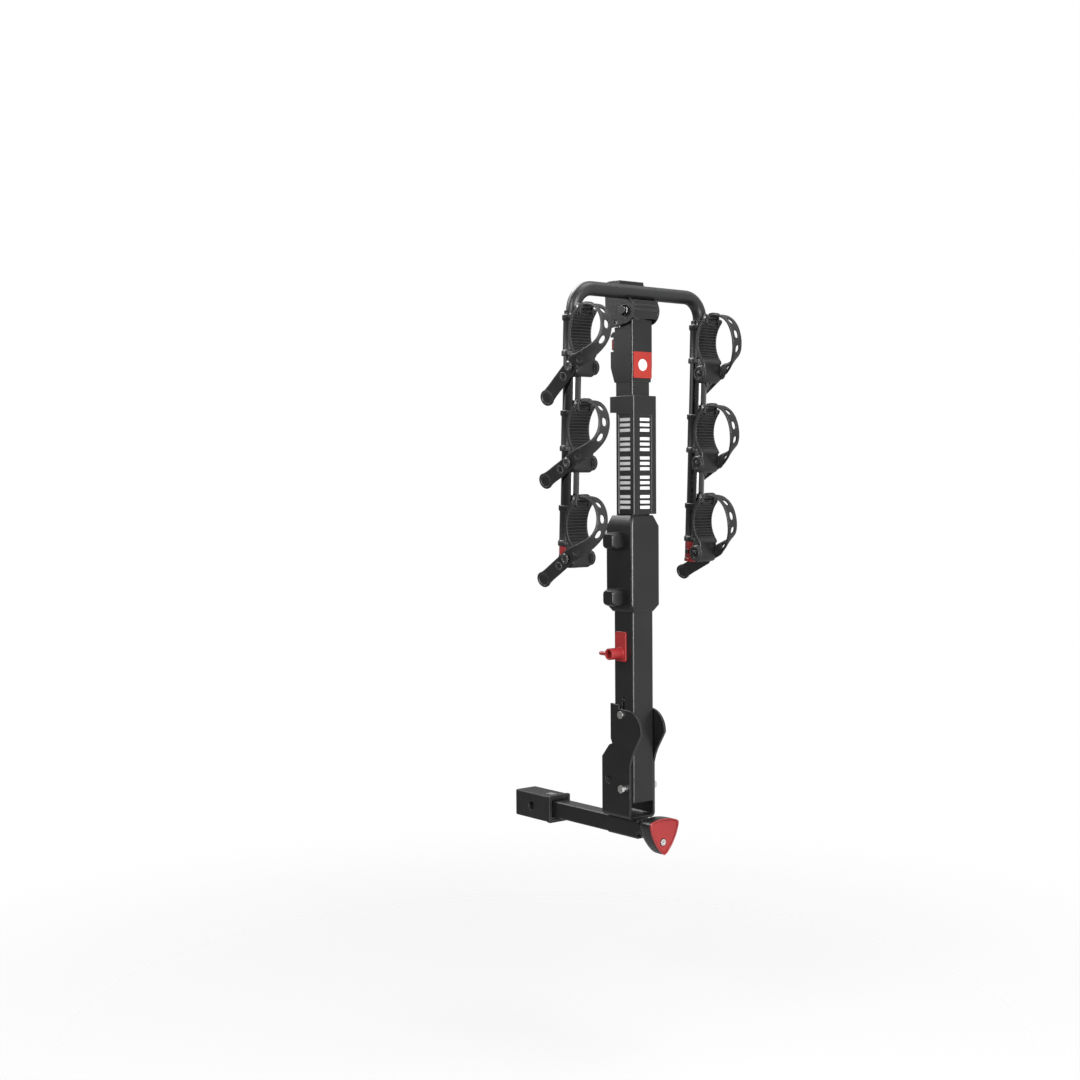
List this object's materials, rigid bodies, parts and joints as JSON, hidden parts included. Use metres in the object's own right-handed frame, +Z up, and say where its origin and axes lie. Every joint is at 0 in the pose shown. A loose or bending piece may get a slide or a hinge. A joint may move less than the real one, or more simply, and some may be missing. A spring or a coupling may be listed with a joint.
{
  "type": "hitch mounted bike rack",
  "caption": "Tilting mast bike rack for a hitch receiver, with fold-down twin arms carrying strapped, ribbed frame cradles and a lockable anti-rattle knob.",
  "frame": {"origin": "centre of the hitch pin hole, on the axis of the hitch tube", "axes": "+Z up, +Y towards the vehicle along the hitch tube, +X to the right for someone standing behind the vehicle and facing it, along the pin hole"},
  "size_m": [0.364, 0.4277, 1.0292],
  "materials": {
    "steel_satin_black": "satin, finely textured powder coat",
    "adapter_black": "matt black paint",
    "bar_satin_black": "satin powder coat",
    "arm_gloss_black": "gloss powder coat",
    "plastic_black": "moulded, light texture",
    "pad_rubber": "matt",
    "strap_rubber": "matt, slightly waxy",
    "red_plastic": "moulded, satin",
    "zinc": "bright zinc plate",
    "black_hardware": "black oxide",
    "steel_plain": "plain machined steel",
    "brass_insert": "plain",
    "nylon": "natural",
    "white_mark": "flat white film"
  },
  "bodies": {
    "base": {"hitch_tube": "steel_satin_black", "hitch_adapter": "adapter_black", "doubler_sleeve": "steel_satin_black", "mast_bracket": "steel_satin_black", "stop_bar": "black_hardware", "catch_bolt": "zinc", "pivot_bolt": "zinc", "bracket_nuts": "zinc", "tube_end_cap": "plastic_black"},
    "knob": {"knob_body": "plastic_black", "knob_cap": "red_plastic", "knob_nut": "brass_insert"},
    "lock": {"lock_core": "zinc"},
    "drawbar": {"draw_rod": "steel_plain", "wedge_block": "steel_plain"},
    "pad": {"grip_pad": "steel_plain"},
    "mast": {"lower_mast_tube": "steel_satin_black", "pivot_bush": "steel_plain", "upper_mast_tube": "steel_satin_black", "lower_sleeve": "plastic_black", "joint_bolts": "black_hardware", "joint_nuts": "black_hardware", "bolt_covers": "plastic_black", "upper_shroud": "plastic_black", "marking_strips": "white_mark", "head_cap": "plastic_black", "label_plate": "red_plastic", "head_bracket": "steel_satin_black", "hinge_bolt": "black_hardware", "hinge_nut": "black_hardware", "hinge_spacers": "nylon", "spring_seat": "steel_plain", "latch_spring": "steel_plain"},
    "tilt_latch": {"latch_tongue": "steel_plain", "tilt_handle": "red_plastic"},
    "arm_pin": {"lock_pin": "steel_plain"},
    "button": {"arm_button": "red_plastic"},
    "arms": {"u_bar": "bar_satin_black", "arm_bracket": "steel_satin_black", "lock_plate": "steel_plain", "arm_tubes": "arm_gloss_black", "arm_bushes": "plastic_black", "arm_end_caps": "red_plastic", "end_cap_screws": "black_hardware", "cradle_left_top": "plastic_black", "cradle_left_middle": "plastic_black", "cradle_left_bottom": "plastic_black", "cradle_right_top": "plastic_black", "cradle_right_middle": "plastic_black", "cradle_right_bottom": "plastic_black", "cradle_pads": "pad_rubber", "strap_studs": "black_hardware", "strap_pins": "steel_plain"},
    "strap_left_top": {"strap_left_top": "strap_rubber"},
    "strap_left_middle": {"strap_left_middle": "strap_rubber"},
    "strap_left_bottom": {"strap_left_bottom": "strap_rubber"},
    "strap_right_top": {"strap_right_top": "strap_rubber"},
    "strap_right_middle": {"strap_right_middle": "strap_rubber"},
    "strap_right_bottom": {"strap_right_bottom": "strap_rubber"}
  },
  "joints": [
    {"name": "mast_tilt", "type": "hinge", "parent": "base", "child": "mast", "pos_m": [0, -0.2825, 0.075], "axis": [1, 0, 0], "range_deg": [0, 28]},
    {"name": "tilt_release", "type": "slide", "parent": "mast", "child": "tilt_latch", "axis": [0, 0, 1], "range_m": [-0.014, 0.004], "stiffness_N_per_m": 400, "springref_m": 0.00862, "deforming": ["latch_spring"]},
    {"name": "arms_fold", "type": "hinge", "parent": "mast", "child": "arms", "pos_m": [0, -0.284, 0.933], "axis": [-1, 0, 0], "range_deg": [0, 96]},
    {"name": "arm_release", "type": "slide", "parent": "mast", "child": "button", "axis": [0, -1, 0], "range_m": [-0.004, 0.001], "stiffness_N_per_m": 300},
    {"name": "arm_lock", "type": "slide", "parent": "mast", "child": "arm_pin", "axis": [1, 0, 0], "range_m": [-0.004, 0.001]},
    {"name": "knob_turn", "type": "hinge", "parent": "base", "child": "knob", "pos_m": [0, -0.32, 0], "axis": [0, 1, 0], "range_deg": [0, 1080]},
    {"name": "rod_pull", "type": "slide", "parent": "base", "child": "drawbar", "axis": [0, -1, 0], "range_m": [0, 0.006]},
    {"name": "pad_lift", "type": "slide", "parent": "base", "child": "pad", "axis": [0, 0, 1], "range_m": [0, 0.00161]},
    {"name": "lock_turn", "type": "hinge", "parent": "knob", "child": "lock", "pos_m": [-0.004, -0.34, -0.015], "axis": [0, 1, 0], "range_deg": [0, 90]},
    {"name": "strap_swing_left_top", "type": "hinge", "parent": "arms", "child": "strap_left_top", "pos_m": [-0.153, -0.3171, 0.92788], "axis": [-1, 0, 0], "range_deg": [0, 90]},
    {"name": "strap_swing_right_top", "type": "hinge", "parent": "arms", "child": "strap_right_top", "pos_m": [0.153, -0.3171, 0.92788], "axis": [-1, 0, 0], "range_deg": [0, 90]},
    {"name": "strap_swing_left_middle", "type": "hinge", "parent": "arms", "child": "strap_left_middle", "pos_m": [-0.153, -0.31076, 0.763], "axis": [-1, 0, 0], "range_deg": [0, 90]},
    {"name": "strap_swing_right_middle", "type": "hinge", "parent": "arms", "child": "strap_right_middle", "pos_m": [0.153, -0.31076, 0.763], "axis": [-1, 0, 0], "range_deg": [0, 90]},
    {"name": "strap_swing_left_bottom", "type": "hinge", "parent": "arms", "child": "strap_left_bottom", "pos_m": [-0.153, -0.30443, 0.59812], "axis": [-1, 0, 0], "range_deg": [0, 90]},
    {"name": "strap_swing_right_bottom", "type": "hinge", "parent": "arms", "child": "strap_right_bottom", "pos_m": [0.153, -0.30443, 0.59812], "axis": [-1, 0, 0], "range_deg": [0, 90]}
  ],
  "couplings": [
    {"joint": "arm_lock", "follows": "arm_release", "ratio": 1},
    {"joint": "rod_pull", "follows": "knob_turn", "m_per_rad": 0.0003183},
    {"joint": "pad_lift", "follows": "knob_turn", "m_per_rad": 0.00008529}
  ]
}
